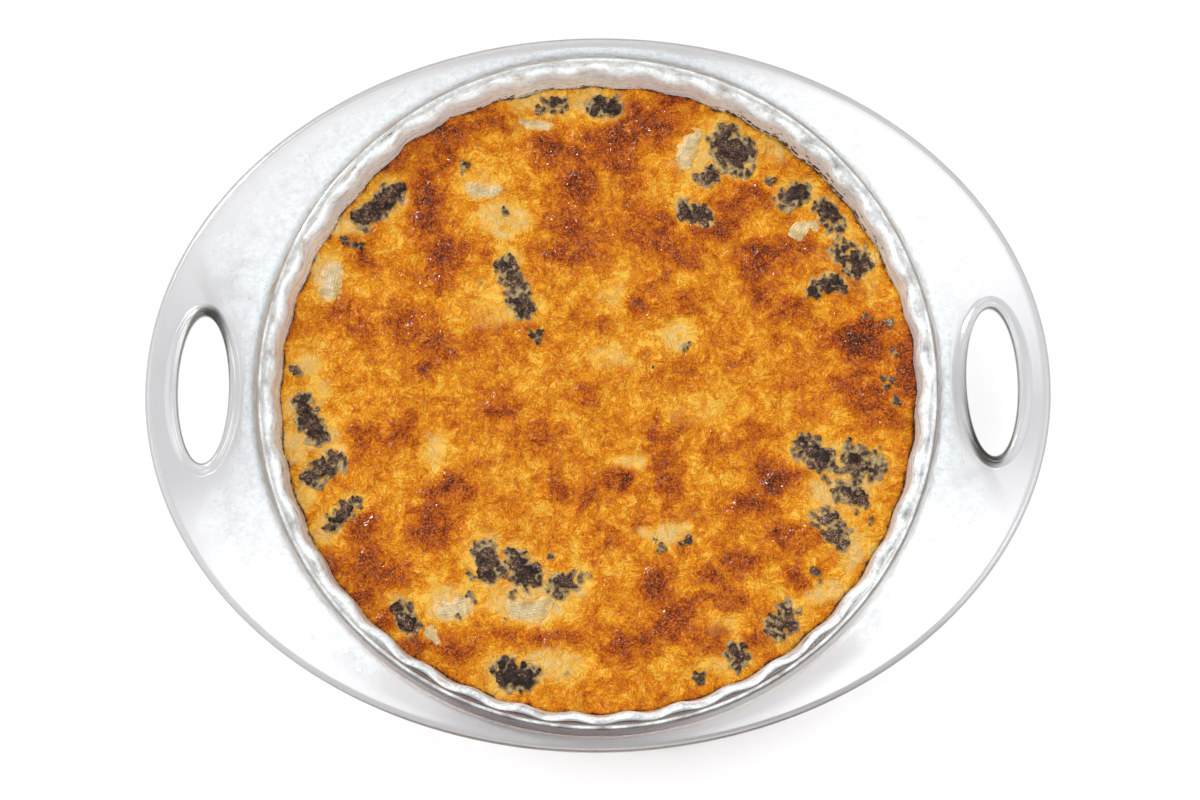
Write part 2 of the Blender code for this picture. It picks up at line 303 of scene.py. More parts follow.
dish = {
    "flutes": 40,
    "stepsPerFlute": 12,
    "fluteDepth": 1.7,
    "flangeTop": 46.2,
    "flangeUnder": 41.7,
    "slotCentre": 150.2,
    "slotHalf": (9.8, 28.3),
    "slotSteps": 128,
    # Width in mm of the painted dark line round the flange's edge
    "paintedDarkEdge": 0.7,
    # Painted dark reflection in a slot: thinnest and thickest in mm, then where it is thickest and its
    # spread in degrees
    "slotPaintedDark": (0.35, 2.3, 62.0, 48.0),
    # Middle, half width and fade in degrees of the near side, where the food shows through the wall
    "nearSide": (273.0, 38.0, 14.0),
    # Height and painted white reflection down the outer wall, but for the near side
    "outerPaintedWhite": [(41.7, 0.9), (34.0, 0.85), (29.0, 0.5), (24.0, 0.0), (0.0, 0.0)],
    # Inner and outer radius and painted white reflection of the groove beside the ring, but for the near
    # side
    "groovePaintedWhite": (127.1, 127.9, 0.6),
    # Radius, height, share of the flute depth and milky film, up the inside from the floor to the flange;
    # the film is partly baked-on haze and partly painted white reflection, most of all at the lip and the
    # ring
    "inside": [
        (112.0, 4.5, 0.0, 0.0), (113.0, 4.5, 0.0, 0.0), (116.5, 4.9, 0.1, 0.0), (119.2, 6.0, 0.2, 0.0),
        (121.2, 7.9, 0.25, 0.0), (122.5, 10.5, 0.3, 0.0), (123.6, 21.0, 0.4, 0.0), (123.95, 26.0, 0.5, 0.3),
        (124.1, 30.0, 0.6, 0.75), (124.2, 35.0, 0.7, 0.75), (124.3, 39.0, 0.85, 0.75),
        (124.45, 41.0, 1.0, 0.8), (124.8, 42.6, 1.0, 0.95), (125.4, 43.7, 1.0, 1.0),
        (126.15, 44.35, 1.0, 1.0), (126.9, 44.6, 1.0, 0.95), (127.2, 44.45, 0.85, 0.35),
        (127.45, 44.3, 0.45, 0.0), (127.65, 44.35, 0.1, 0.0), (127.75, 44.8, 0.0, 0.1),
        (127.85, 45.6, 0.0, 0.5), (128.1, 46.15, 0.0, 0.85), (128.5, 46.38, 0.0, 0.85),
        (128.95, 46.3, 0.0, 0.25), (129.4, 46.2, 0.0, 0.05), (130.4, 46.2, 0.0, 0.03),
    ],
    # Radius and height down the outside, from the flange to the base
    "outside": [
        (133.9, 41.7), (133.2, 41.62), (132.5, 41.3), (131.95, 40.7), (131.6, 39.8), (131.4, 38.5),
        (129.3, 22.0), (127.0, 6.0), (126.5, 4.2), (125.7, 2.6), (124.4, 1.3), (122.6, 0.5),
        (120.8, 0.1), (119.5, 0.0), (118.7, 0.0),
    ],
    # Distance in from the oval outline and height, round the flange's edge from top to underside
    "edge": [
        (5.8, 46.2), (4.0, 46.2), (2.8, 46.2), (1.9, 46.14), (1.1, 45.9), (0.5, 45.45), (0.13, 44.8),
        (0.0, 44.0), (0.13, 43.1), (0.5, 42.4), (1.1, 41.95), (1.9, 41.74), (2.4, 41.7), (2.8, 41.7),
    ],
    # Distance out from the slot and height, over its rounded bead from top to underside
    "slotBead": [
        (5.4, 46.2), (4.8, 46.2), (4.1, 46.36), (3.3, 46.75), (2.4, 47.0), (1.95, 46.97), (1.5, 46.88),
        (1.1, 46.72), (0.8, 46.5), (0.5, 46.2), (0.25, 45.8), (0.08, 45.35), (0.0, 44.8), (0.0, 43.3),
        (0.25, 42.2), (0.8, 41.5), (1.6, 41.2), (2.6, 41.25), (3.6, 41.5), (4.4, 41.7), (5.0, 41.7),
    ],
}
fluteRings = [(radius, z, share * dish["fluteDepth"]) for radius, z, share, film in dish["inside"]]


def turnBetween(first, second):
    return abs((first - second + 180.0) % 360.0 - 180.0)


def awayFromNear(place):
    # 0 at the near side, where the food shows through the outer wall, and 1 elsewhere
    middle, halfWidth, fade = dish["nearSide"]
    turn = turnBetween(math.degrees(math.atan2(place.y, place.x)), middle)
    return min(1.0, max(0.0, (turn - halfWidth) / fade))


def fluteInset(angle):
    # 0 in the middle of a flute's arc and 1 at the cusp between two flutes
    return (1.0 - math.cos(angle * dish["flutes"])) / 2


def wallRadius(angle, z):
    # The glass wall's inner radius in metres at an angle and a height
    for (lowR, lowZ, lowDepth), (highR, highZ, highDepth) in zip(fluteRings[1:], fluteRings[2:]):
        if z <= highZ * mm:
            break
    share = min(1.0, max(0.0, (z / mm - lowZ) / max(highZ - lowZ, 1e-6)))
    depth = lowDepth + (highDepth - lowDepth) * share
    return (lowR + (highR - lowR) * share - depth * fluteInset(angle)) * mm


def shapeRing(bowl, radius, depth):
    # Gives the selected ring its radius and its flutes, one group of like vertices after another
    mesh = bmesh.from_edit_mesh(bowl.data)
    groups = {}
    for vert in mesh.verts:
        if vert.select:
            inset = round(fluteInset(math.atan2(vert.co.y, vert.co.x)), 4)
            groups.setdefault(inset, []).append((vert.index, vert.co.xy.length))
    everything = {index for group in groups.values() for index, oldRadius in group}
    for inset, group in groups.items():
        members = {index for index, oldRadius in group}
        pickVerts(lambda vert: vert.index in members)
        factor = (radius - inset * depth) * mm / group[0][1]
        bpy.ops.transform.resize(value=(factor, factor, 1.0), center_override=(0.0, 0.0, 0.0))
    pickVerts(lambda vert: vert.index in everything)


def buildBowlInside(steps):
    radius, z, depth = fluteRings[0]
    bowl = addRing("pieDish", radius * mm, radius * mm, z * mm, steps)
    hazeAndPaintedWhiteShares = [film for *shape, film in dish["inside"]]
    grooveIn, grooveOut, groovePaintedWhite = dish["groovePaintedWhite"]
    for i, (newR, newZ, newDepth) in enumerate(fluteRings[1:], start=1):
        rise = newZ - fluteRings[i - 1][1]
        bpy.ops.mesh.extrude_region_move(TRANSFORM_OT_translate={"value": (0.0, 0.0, rise * mm)})
        shapeRing(bowl, newR, newDepth)
        extra = groovePaintedWhite if grooveIn < newR < grooveOut else 0.0
        mark(bowl, "film", lambda place: hazeAndPaintedWhiteShares[i] + extra * awayFromNear(place))
    pickVerts(lambda vert: vert.co.xy.length < (radius + 0.1) * mm)
    bpy.ops.mesh.edge_face_add()
    leaveEdit()
    return bowl


def outerPaintedWhite(place):
    # Painted white reflection on the outer wall, except where the food shows through it at the near side
    for (highZ, high), (lowZ, low) in zip(dish["outerPaintedWhite"], dish["outerPaintedWhite"][1:]):
        if place.z >= lowZ * mm:
            share = min(1.0, (place.z / mm - lowZ) / (highZ - lowZ))
            return awayFromNear(place) * (low + (high - low) * share)
    return 0.0


def buildBowlOutside(steps):
    rings = [(radius * mm, radius * mm, z * mm) for radius, z in dish["outside"]]
    wall = addRing("bowlOutside", *rings[0], steps)
    growAlong(rings)
    markAll(wall, "film", outerPaintedWhite)
    pickVerts(lambda vert: vert.co.z < 0.01 * mm and vert.co.xy.length < rings[-1][0] + 0.01 * mm)
    bpy.ops.mesh.edge_face_add()
    leaveEdit()
    return wall


def outsideOval(place, centreX, halfX, halfY):
    # Rough distance from an oval in metres, and the direction from its centre in degrees
    across = (place.x - centreX) / halfX
    along = place.y / halfY
    away = abs(math.hypot(across, along) - 1.0) * min(halfX, halfY)
    return away, math.degrees(math.atan2(along, across))


def buildFlangeEdge(steps):
    halfX = (dishHigh.x - dishLow.x) / 2
    halfY = (dishHigh.y - dishLow.y) / 2
    rings = [(halfX - inset * mm, halfY - inset * mm, z * mm) for inset, z in dish["edge"]]
    edge = addRing("flangeEdge", *rings[0], steps)
    growAlong(rings)

    def paintedDarkness(place):
        # A painted dark line round the flange: painted shade standing in for what thick glass shows at its
        # edge
        away, turn = outsideOval(place, 0.0, halfX, halfY)
        return max(0.0, 1.0 - away / (dish["paintedDarkEdge"] * mm))

    markAll(edge, "edge", paintedDarkness)
    leaveEdit()
    return edge


def buildSlot(side):
    halfX, halfY = dish["slotHalf"]
    centre = side * dish["slotCentre"] * mm
    rings = [((halfX + out) * mm, (halfY + out) * mm, z * mm) for out, z in dish["slotBead"]]
    bead = addRing("slotBead", *rings[0], dish["slotSteps"], centre)
    growAlong(rings, centre)
    thin, thick, middle, spread = dish["slotPaintedDark"]
    if side > 0:
        middle += 180.0

    def paintedDarkness(place):
        # A painted dark reflection on the slot's wall, standing in for the dark of the room, most of all
        # towards one end
        away, turn = outsideOval(place, centre, halfX * mm, halfY * mm)
        band = thin + (thick - thin) * math.exp(-((turnBetween(turn, middle) / spread) ** 2))
        return min(1.0, max(0.0, 2.0 - 2.0 * away / (band * mm)))

    markAll(bead, "edge", paintedDarkness)
    leaveEdit()
    return bead


def buildDish():
    steps = dish["flutes"] * dish["stepsPerFlute"]
    walls = [buildBowlInside(steps), buildBowlOutside(steps), buildFlangeEdge(steps)]
    glass = joinPieces([*walls, buildSlot(-1), buildSlot(1)], "pieDish")
    edit()
    for height in (dish["flangeTop"], dish["flangeUnder"]):
        # The flat of the flange is filled between its oval, its bowl and its two slots
        pickOpenEdges(lambda place: abs(place.z - height * mm) < 0.02 * mm)
        bpy.ops.mesh.fill(use_beauty=True)
    bpy.ops.mesh.select_mode(type="VERT")
    bpy.ops.mesh.select_all(action="SELECT")
    bpy.ops.mesh.remove_doubles(threshold=1e-6)
    bpy.ops.mesh.normals_make_consistent(inside=False)
    leaveEdit()
    bpy.ops.object.shade_smooth()
    return glass


glassLook = {
    "bend": 1.38,
    "tint": (0.64, 0.645, 0.66, 1.0),
    # Near black, for the painted shade and painted dark reflection at the glass edges
    "paintedDarkTint": (0.035, 0.03, 0.025, 1.0),
    "shadowTint": (0.86, 0.865, 0.875, 1.0),
    # White of the milky film: partly haze and partly painted white reflection
    "hazeAndPaintedWhiteTone": (0.9, 0.955, 0.985, 1.0),
    "dust": (0.46, 0.42, 0.36, 1.0),
    # Brown spatter on the wall thins out between these heights
    "stainHeights": (27.0, 33.0),
    "stain": (118, 78, 44),
}


def clearGlass():
    # Clear glass with a milky film round the food, partly baked-on haze and partly painted white
    # reflection, and faint dust on the flange
    board = Finish("clearGlass", Transmission_Weight=1.0, IOR=glassLook["bend"], Roughness=0.02,
                   Coat_Weight=1.0, Coat_IOR=1.5, Coat_Roughness=0.03)
    height = board.node("ShaderNodeSeparateXYZ", {}, {0: board.place}, "Z")
    hazeAndPaintedWhiteMask = board.attribute("film")
    # Noise squashed in height, so that its streaks run round the wall
    flat = board.node("ShaderNodeVectorMath", {"operation": "MULTIPLY"},
                      {0: board.place, 1: (1.0, 1.0, 4.5)})
    streaks = board.speckle(9 * mm, detail=5.0, roughness=0.6, place=flat)
    specks = 1.0 - board.cells(2.2 * mm).step(0.10, 0.20)
    haze = board.speckle(35 * mm, detail=4.0).step(0.4, 0.75)
    # The milky film: baked-on haze round the food, and painted white reflection on the lip, the ring, the
    # groove beside it and the outer wall
    film = hazeAndPaintedWhiteMask * (streaks * 3.2 - 0.75) + specks * (0.06 * haze + hazeAndPaintedWhiteMask * 0.2) + 0.025 * haze
    film = film.clamped()
    # Brown specks on the wall just above the food
    low, high = glassLook["stainHeights"]
    spatter = board.speckle(1.3 * mm, detail=3.0, roughness=0.7) + board.speckle(16 * mm, detail=2.0) * 0.5
    spatter = spatter - height.step(low * mm, high * mm) * 0.34 - (1.0 - hazeAndPaintedWhiteMask.step(0.05, 0.3))
    stained = spatter.step(0.68, 0.8)
    # The edge attribute paints the glass near black: painted shade round the flange and painted dark
    # reflection in the slots
    tint = board.mix(board.attribute("edge"), glassLook["tint"], glassLook["paintedDarkTint"])
    relief = board.bumpy(board.speckle(24 * mm, detail=0.0), 0.3 * mm, 0.35)
    glass = board.finish(Base_Color=tint, Roughness=(0.015 + film * 0.3).clamped(), Normal=relief)
    dusty = board.speckle(1.6 * mm, detail=4.0, roughness=0.7).step(0.48, 0.66)
    white = board.mix(dusty * 0.5, glassLook["hazeAndPaintedWhiteTone"], glassLook["dust"])
    white = board.mix(stained, white, (*colour(*glassLook["stain"]), 1.0))
    hazeAndPaintedWhiteLayer = board.principled(Base_Color=white, Roughness=0.4)
    glassUnderHazeAndPaintedWhite = board.node("ShaderNodeMixShader", {}, {0: film, 1: board.body, 2: hazeAndPaintedWhiteLayer}, "Shader")
    shadow = board.node("ShaderNodeLightPath", output="Is Shadow Ray")
    clear = board.node("ShaderNodeBsdfTransparent", {}, {0: glassLook["shadowTint"]}, "BSDF")
    board.surface(board.node("ShaderNodeMixShader", {}, {0: shadow, 1: glassUnderHazeAndPaintedWhite, 2: clear}, "Shader"))
    return glass


# Baked filling

filling = {
    "edge": 26.8,
    "rise": 1.6,
    "footRadius": 122.5,
    "broad": (34.0, 1.5),
    "blister": (14.0, 0.9),
    "climbWidth": 9.0,
    "climbs": [(9, 8, 4.2), (126, 7, 4.6), (114, 5, 1.8), (214, 4, 2.2), (231.5, 5, 2.4), (48, 14, 1.2)],
    "gridHalf": 126.5,
    "gridSteps": 322,
    "intoWall": 0.15,
    "crustWidth": 2.2,
    # The rim's lift up the glass: all round, in soft waves and in sharp teeth
    "rimLift": (0.2, 1.0, 2.2),
    "sideHeights": [24.0, 20.0, 15.5, 10.5, 7.9, 6.0],
    "sideCrust": 0.25,
}

# Browned patches: x and y, half sizes and strength
browned = [
    (-75, 101, 6, 5, 1.0), (-80, 95, 6, 5, 0.8), (-59, 104, 11, 6, 0.9), (-40, 110, 10, 5, 0.6),
    (-68, 75, 6, 13, 1.0), (-58, 56, 9, 8, 0.9), (-63, 45, 6, 5, 0.6), (-94, 54, 6, 5, 0.6),
    (-101, 32, 9, 6, 0.5), (-92, 25, 6, 8, 0.5), (-73, 27, 9, 8, 0.6), (-62, 19, 8, 7, 0.6),
    (-66, 10, 5, 4, 0.8), (-17, 97, 8, 8, 1.0), (-7, 84, 9, 8, 0.8), (-4, 96, 8, 6, 0.7),
    (-10, 70, 8, 7, 0.7), (-10, 57, 12, 6, 0.8), (-61, 94, 5, 8, 0.6), (-90, 64, 6, 6, 0.4),
    (7, 103, 11, 7, 0.9), (21, 107, 11, 8, 1.0), (10, 92, 9, 6, 0.7), (46, 66, 12, 6, 0.9),
    (60, 76, 9, 6, 0.8), (26, 58, 7, 6, 0.8), (25, 67, 6, 4, 0.7), (34, 52, 8, 5, 0.6),
    (63, 53, 10, 8, 0.9), (82, 57, 14, 4, 0.8), (65, 38, 7, 6, 0.7), (76, 31, 8, 5, 0.7),
    (97, 43, 6, 7, 0.8), (102, 20, 12, 9, 1.1), (121, 8, 5, 13, 1.0), (35, 34, 5, 5, 0.6),
    (16, 37, 5, 6, 0.6), (31, 118, 9, 4, 0.7), (4, 25, 4, 4, 0.5), (98, 4, 9, 6, 0.7),
    (15, 82, 6, 5, 0.5), (-77, -17, 8, 7, 0.8), (-94, -20, 5, 9, 0.6), (-56, -38, 10, 5, 0.9),
    (-65, -53, 8, 8, 0.9), (-39, -5, 8, 6, 0.7), (-22, -15, 5, 6, 0.6), (-17, -36, 5, 5, 0.6),
    (-5, -40, 4, 4, 0.9), (-90, -52, 8, 5, 0.7), (-86, -66, 12, 8, 0.8), (-103, -67, 6, 6, 0.9),
    (-92, -79, 6, 4, 0.8), (-83, -88, 6, 4, 0.8), (-72, -96, 6, 4, 0.8), (-58, -97, 10, 4, 0.7),
    (-24, -95, 20, 4, 0.6), (-5, -2, 5, 5, 0.5), (8, -35, 6, 5, 0.9), (28, -34, 5, 8, 0.9),
    (70, -34, 10, 5, 0.9), (57, -44, 9, 5, 0.9), (25, -14, 8, 6, 0.6), (26, -25, 7, 5, 0.6),
    (48, -22, 5, 4, 0.5), (75, -57, 9, 6, 0.8), (57, -66, 10, 4, 0.6), (22, -76, 6, 9, 0.9),
    (29, -86, 11, 6, 0.8), (43, -74, 7, 4, 0.7), (76, -73, 6, 5, 0.6), (12, -99, 9, 7, 0.8),
    (23, -93, 6, 5, 0.7), (41, -97, 9, 5, 0.6), (62, -95, 5, 7, 0.6), (106, -5, 9, 6, 0.8),
    (113, -12, 6, 6, 0.8), (5, -57, 5, 5, 0.5), (60, -16, 5, 5, 0.5), (46, -83, 15, 4, 0.6),
    (28, -50, 20, 5, 0.3), (-44, 22, 12, 6, 0.4), (50, 15, 12, 8, 0.2), (15, 65, 12, 10, 0.5),
]

# Pale custard showing through: x and y, half sizes and strength
pale = [
    (-35, 69, 9, 8, 1.0), (-101, 69, 9, 4, 0.9), (-107, 48, 8, 12, 0.9), (-113, 13, 7, 6, 0.8),
    (-109, 3, 6, 6, 0.6), (-118, -20, 6, 9, 0.8), (-112, -38, 5, 8, 0.7), (-104, -56, 5, 6, 0.6),
    (-26, 108, 9, 5, 0.5), (-6, 116, 7, 5, 0.7), (6, 38, 9, 9, 0.5), (31, 23, 7, 5, 0.8),
    (6, 12, 13, 6, 0.6), (42, 93, 14, 9, 0.8), (74, 98, 9, 7, 0.7), (105, 41, 7, 9, 0.5),
    (38, -9, 13, 8, 0.5), (95, -36, 14, 12, 1.0), (97, -62, 6, 11, 0.9), (86, -78, 8, 5, 0.9),
    (46, -105, 10, 5, 0.7), (48, -91, 9, 5, 0.5), (26, -54, 10, 5, 0.9), (-27, -80, 18, 9, 0.9),
    (-58, -81, 12, 7, 0.8), (-19, -105, 14, 7, 0.8), (-63, -22, 4, 10, 0.7), (-46, -59, 8, 8, 0.5),
    (13, -27, 10, 3, 0.7), (-45, 83, 9, 6, 0.6), (-40, 34, 14, 12, 0.5), (-23, 117, 14, 5, 0.8),
    (108, -70, 5, 12, 0.8), (-78, -32, 4, 12, 0.3),
]


def waves(x, y, size, seed):
    return noise.noise(Vector((x / mm / size, y / mm / size, seed)))


def edgeClimb(x, y):
    angle = math.degrees(math.atan2(y, x))
    inward = (filling["footRadius"] * mm - math.hypot(x, y)) / (filling["climbWidth"] * mm)
    near = 1.0 - min(1.0, max(0.0, inward))
    rise = 0.0
    for centre, spread, height in filling["climbs"]:
        away = (angle - centre + 180.0) % 360.0 - 180.0
        rise += height * math.exp(-((away / spread) ** 2))
    return rise * near * near * mm


def fillingHeight(x, y):
    # The solid's own top: a low dome, broad waves, blisters and a raised edge in places
    out = math.hypot(x, y) / (filling["footRadius"] * mm)
    broadSize, broadHeight = filling["broad"]
    blisterSize, blisterHeight = filling["blister"]
    broad = noise.noise(Vector((x, y, 31 * mm)) / (broadSize * mm))
    blister = noise.noise(Vector((x, y, 52 * mm)) / (blisterSize * mm))
    relief = (broadHeight * broad + blisterHeight * blister) * mm
    return filling["edge"] * mm + filling["rise"] * mm * (1.0 - out * out) + relief + edgeClimb(x, y)


def patchSum(xs, ys, patches):
    total = np.zeros(len(xs))
    for x, y, halfX, halfY, strength in patches:
        away = ((xs - x) / halfX) ** 2 + ((ys - y) / halfY) ** 2
        total = np.maximum(total, strength * np.exp(-0.7 * away ** 1.5))
    return total


def beefNearness(xs, ys):
    # 1 at a clump of beef, falling away around it
    nearest = np.zeros(len(xs))
    for path, width in beef["clumps"]:
        for x, y in path:
            away = np.hypot(xs - x, ys - y) / (0.75 * width + 1.5)
            nearest = np.maximum(nearest, np.exp(-away ** 2.5))
    return nearest


def cheeseSurface(places):
    # Height, browning and paleness of the top at each place
    swirl = np.array([(waves(x, y, 12, 3.1) * 4 + waves(x, y, 5, 4.2) * 1.6,
                       waves(x, y, 12, 7.7) * 4 + waves(x, y, 5, 8.3) * 1.6) for x, y in places])
    xs = np.array([x / mm for x, y in places]) + swirl[:, 0]
    ys = np.array([y / mm for x, y in places]) + swirl[:, 1]
    toast = patchSum(xs, ys, browned)
    custard = np.maximum(patchSum(xs, ys, pale), 0.85 * beefNearness(xs, ys))
    heights = []
    toasts = []
    for i, (x, y) in enumerate(places):
        warpX = x + swirl[i, 0] * 0.5 * mm
        warpY = y + swirl[i, 1] * 0.5 * mm
        patchy = waves(warpX, warpY, 14, 11.0) * 0.5 + waves(warpX, warpY, 6, 12.0) * 0.6
        patchy += waves(warpX, warpY, 2.7, 13.0) * 0.45
        brown = 0.30 + 0.27 * patchy + 0.46 * toast[i] - 0.26 * custard[i]
        brown = min(1.0, max(0.0, brown))
        ridge = 1.0 - abs(waves(warpX, warpY, 7.5, 21.0)) * 2.4
        wrinkle = 1.0 - abs(waves(warpX, warpY, 3.6, 22.0)) * 2.4
        bubble = max(0.0, waves(x, y, 2.3, 23.0))
        crisp = 0.35 + 1.1 * brown
        fine = (crisp * (0.62 * ridge + 0.50 * wrinkle + 0.7 * bubble) - 0.55) * mm
        heights.append(fillingHeight(x, y) + fine + (0.7 * toast[i] - 0.3 * custard[i]) * mm)
        toasts.append(brown)
    return heights, toasts, custard


def buildFilling():
    deselectAll()
    half = filling["gridHalf"] * mm
    steps = filling["gridSteps"]
    bpy.ops.mesh.primitive_grid_add(x_subdivisions=steps, y_subdivisions=steps, size=2 * half,
                                    location=(0.0, 0.0, filling["edge"] * mm))
    cheese = bpy.context.active_object
    cheese.name = cheese.data.name = "bakedFilling"
    bpy.ops.object.transform_apply(location=True, rotation=True, scale=True)
    edit()
    bpy.ops.mesh.select_mode(type="VERT")
    spacing = 2 * half / steps

    def rimRadius(vert, z):
        angle = math.atan2(vert.co.y, vert.co.x)
        return wallRadius(angle, z) + filling["intoWall"] * mm

    pickVerts(lambda vert: vert.co.xy.length > rimRadius(vert, vert.co.z) - 0.45 * spacing)
    bpy.ops.mesh.delete(type="VERT")
    # Corners that hang on by one face would fold when they are moved out to the wall
    pickVerts(lambda vert: vert.is_boundary and len(vert.link_faces) < 2)
    bpy.ops.mesh.delete(type="VERT")

    mesh = bmesh.from_edit_mesh(cheese.data)
    heights, toasts, custard = cheeseSurface([tuple(vert.co.xy) for vert in mesh.verts])
    layers = mesh.verts.layers.float
    toastLayer = layers.new("toast")
    paleLayer = layers.new("paleness")
    rimLayer = layers.new("rim")
    for vert, height, brown, paleness in zip(mesh.verts, heights, toasts, custard):
        vert.co.z = height
        vert[toastLayer] = brown
        vert[paleLayer] = paleness
        gap = rimRadius(vert, height) - vert.co.xy.length
        vert[rimLayer] = 1.0 if vert.is_boundary else max(0.0, 1.0 - gap / (filling["crustWidth"] * mm))
    lift, waveHeight, toothHeight = filling["rimLift"]
    for vert in mesh.verts:
        if vert.is_boundary:
            # The rim is drawn out to the glass and stands up it a little, unevenly
            angle = math.atan2(vert.co.y, vert.co.x)
            wave = noise.noise(Vector((angle * 30.0, 0.0, 5.0)))
            tooth = max(0.0, noise.noise(Vector((angle * 90.0, 0.0, 9.0))))
            vert.co.z += (lift + waveHeight * wave + toothHeight * tooth) * mm
            vert.co.xy = vert.co.xy.normalized() * rimRadius(vert, vert.co.z)
    bmesh.update_edit_mesh(cheese.data)

    pickVerts(lambda vert: vert.is_boundary)
    for height in filling["sideHeights"]:
        bpy.ops.mesh.extrude_region_move()
        mesh = bmesh.from_edit_mesh(cheese.data)
        layers = mesh.verts.layers.float
        toastLayer, paleLayer, rimLayer = layers["toast"], layers["paleness"], layers["rim"]
        for vert in mesh.verts:
            if vert.select:
                vert.co.z = height * mm
                vert.co.xy = vert.co.xy.normalized() * rimRadius(vert, height * mm)
                # Below the crust the side is baked custard, browner at the near side
                place = vert.co / (9.0 * mm)
                near = 1.0 - awayFromNear(vert.co)
                vert[rimLayer] = filling["sideCrust"]
                vert[toastLayer] = 0.22 + 0.2 * near + 0.3 * noise.noise(place)
                vert[paleLayer] = 0.75 - 0.45 * near + 0.5 * noise.noise(place + Vector((5.0, 0.0, 0.0)))
    bpy.ops.mesh.extrude_region_move()
    mesh = bmesh.from_edit_mesh(cheese.data)
    for vert in mesh.verts:
        if vert.select:
            vert.co.z = (dish["inside"][1][1] - filling["intoWall"]) * mm
            vert.co.xy = vert.co.xy.normalized() * dish["inside"][1][0] * mm
    bpy.ops.mesh.edge_face_add()
    bpy.ops.mesh.select_all(action="SELECT")
    bpy.ops.mesh.normals_make_consistent(inside=False)
    leaveEdit()
    bpy.ops.object.shade_smooth()
    return cheese


def bakedCheese():
    # Golden cheese with glossy browned blisters, pale custard showing through and a dark crust
    board = Finish("bakedCheese", Specular_IOR_Level=0.12, Coat_Roughness=0.1, Coat_IOR=1.5)
    toast = board.attribute("toast")
    paleness = board.attribute("paleness")
    rim = board.attribute("rim")
    flowing = board.drifted(9 * mm, 11 * mm)
    patchy = board.speckle(5 * mm, detail=4.0, roughness=0.55, place=flowing) - 0.5
    crease = 1.0 - (board.speckle(3.4 * mm, detail=2.0, place=flowing) - 0.5).size() * 9.0
    crease = crease.clamped()
    fine = board.speckle(0.9 * mm, detail=3.0, roughness=0.65) - 0.5
    oil = board.speckle(0.55 * mm, detail=1.5, roughness=0.5) - 0.5
    strand = 1.0 - (board.speckle(1.7 * mm, detail=2.0, place=flowing) - 0.5).size() * 12.0
    strand = strand.clamped()
    blisters = board.cells(1.4 * mm)
    crisp = (toast * 1.6 + patchy * 0.8 - 0.25).clamped()
    brown = toast + patchy * 0.7 + fine * (0.5 + crisp * 0.6) + (blisters - 0.4) * crisp * 0.25
    brown = brown + (crease - 0.35) * 0.12 + (0.3 - strand) * 0.24 + rim * 0.1 + oil * 0.5
    baked = board.ramp(brown, [
        (0.02, colour(242, 190, 76)), (0.20, colour(232, 152, 20)), (0.38, colour(214, 122, 10)),
        (0.56, colour(190, 90, 8)), (0.74, colour(156, 62, 10)), (0.98, colour(88, 36, 12)),
    ])
    # Tiny pale beads on the browned parts, partly fat and partly painted glints
    fatBeadsAndPaintedGlints = (1.0 - board.cells(0.85 * mm).step(0.12, 0.36)) * (crisp * 1.5 - 0.25).clamped()
    baked = board.mix(fatBeadsAndPaintedGlints * 0.7, baked, (*colour(238, 160, 104), 1.0))
    custard = board.ramp(board.speckle(2.6 * mm, detail=5.0, roughness=0.65), [
        (0.30, colour(232, 156, 20)), (0.44, colour(234, 180, 84)), (0.58, colour(230, 192, 124)),
        (0.74, colour(188, 166, 108)),
    ])
    shownPale = (paleness * 1.15 + patchy * 1.3 + fine * 0.8 - toast * 0.3).step(0.35, 1.0)
    surface = board.mix(shownPale, baked, custard)
    crust = (rim * 1.1 + patchy * 1.6).step(0.7, 1.1)
    surface = board.mix(crust * 0.9, surface, board.ramp(blisters, [
        (0.2, colour(120, 60, 22)), (0.6, colour(44, 20, 12)),
    ]))
    relief = fine * (0.35 + crisp * 0.9) + oil * (0.15 + crisp * 0.7) - blisters * crisp * 0.4
    relief = relief + crease * 0.3 + strand * 0.15
    return board.finish(
        Base_Color=surface,
        Roughness=(0.32 - crisp * 0.15 + fine * 0.3).clamped(),
        Coat_Weight=(crisp * 1.4 + 0.2) * oil.step(0.04, 0.16),
        Normal=board.bumpy(relief, 1.0 * mm),
    )


# Browned beef

